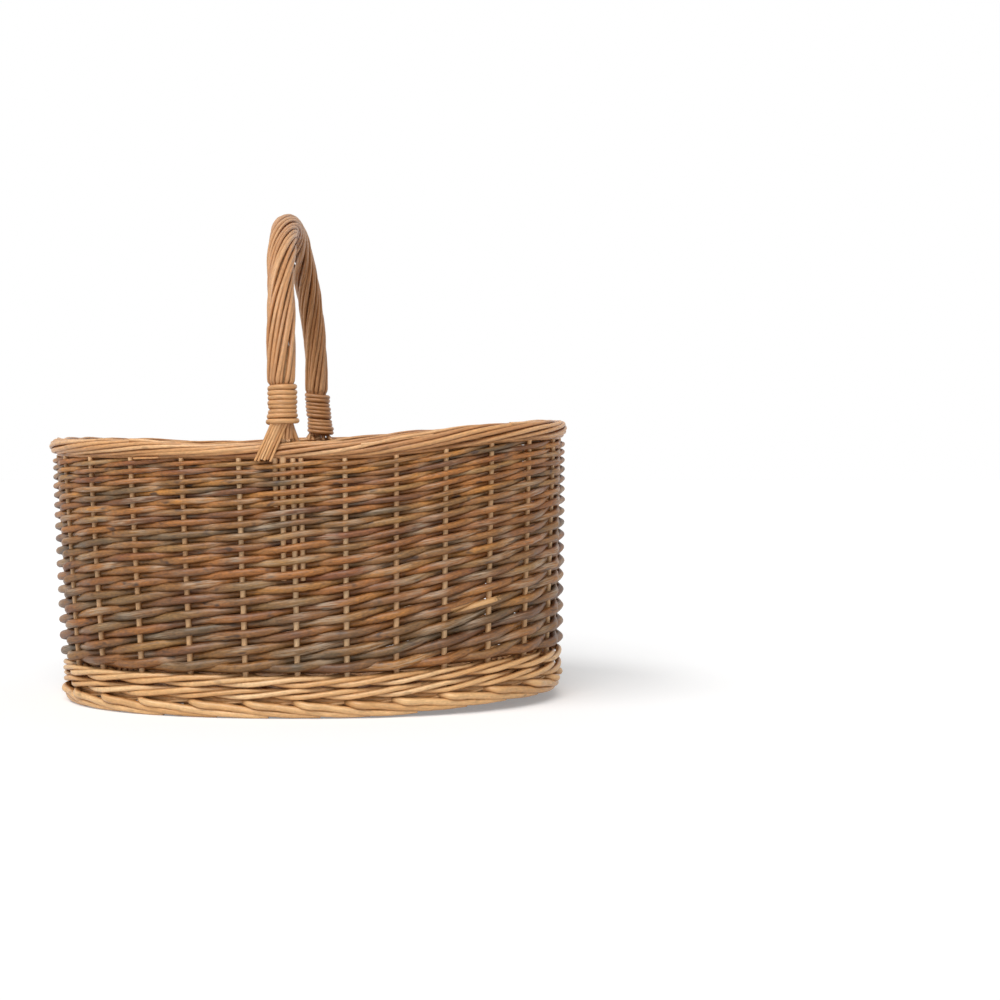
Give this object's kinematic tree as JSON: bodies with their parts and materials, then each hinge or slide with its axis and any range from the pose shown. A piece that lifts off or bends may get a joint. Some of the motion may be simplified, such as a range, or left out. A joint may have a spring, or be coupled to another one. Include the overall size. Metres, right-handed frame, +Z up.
{
  "type": "willow shopping basket",
  "caption": "Oval woven willow basket with randed sides, waled foot, rolled rim border and a fixed roped hoop handle over its middle.",
  "frame": {"origin": "middle of the basket's outer size in plan, on the surface that the foot border stands on", "axes": "+X along the basket's length towards its higher end, +Y from the front long side to the rear one, +Z up towards the handle"},
  "size_m": [0.4951, 0.3428, 0.4613],
  "materials": {
    "peeled_willow": "peeled willow, satin",
    "brown_siding_willow": "unpeeled willow bark, dull",
    "buff_border_willow": "buff willow, satin",
    "golden_foot_willow": "golden willow, half gloss"
  },
  "bodies": {
    "root": {"base_cross_stick_1": "peeled_willow", "base_cross_stick_2": "peeled_willow", "base_cross_stick_3": "peeled_willow", "base_cross_stick_4": "peeled_willow", "base_cross_stick_5": "peeled_willow", "base_cross_stick_6": "peeled_willow", "base_cross_stick_7": "peeled_willow", "base_long_stick_1": "peeled_willow", "base_long_stick_2": "peeled_willow", "base_long_stick_3": "peeled_willow", "base_weave": "buff_border_willow", "stake_01": "peeled_willow", "stake_02": "peeled_willow", "stake_03": "peeled_willow", "stake_04": "peeled_willow", "stake_05": "peeled_willow", "stake_06": "peeled_willow", "stake_07": "peeled_willow", "stake_08": "peeled_willow", "stake_09": "peeled_willow", "stake_10": "peeled_willow", "stake_11": "peeled_willow", "stake_12": "peeled_willow", "stake_13": "peeled_willow", "stake_14": "peeled_willow", "stake_15": "peeled_willow", "stake_16": "peeled_willow", "stake_17": "peeled_willow", "stake_18": "peeled_willow", "stake_19": "peeled_willow", "stake_20": "peeled_willow", "stake_21": "peeled_willow", "stake_22": "peeled_willow", "stake_23": "peeled_willow", "stake_24": "peeled_willow", "stake_25": "peeled_willow", "stake_26": "peeled_willow", "stake_27": "peeled_willow", "stake_28": "peeled_willow", "foot_border": "golden_foot_willow", "upsett_wale": "golden_foot_willow", "siding": "brown_siding_willow", "rim_border": "buff_border_willow", "handle_bow": "peeled_willow", "rope_bunch_1": "peeled_willow", "rope_bunch_2": "peeled_willow", "rope_bunch_3": "peeled_willow", "rope_bunch_4": "peeled_willow", "collar_front": "golden_foot_willow", "splay_front": "peeled_willow", "liner_front_left": "peeled_willow", "liner_front_right": "peeled_willow", "collar_rear": "golden_foot_willow", "splay_rear": "peeled_willow", "liner_rear_left": "peeled_willow", "liner_rear_right": "peeled_willow"}
  },
  "joints": []
}
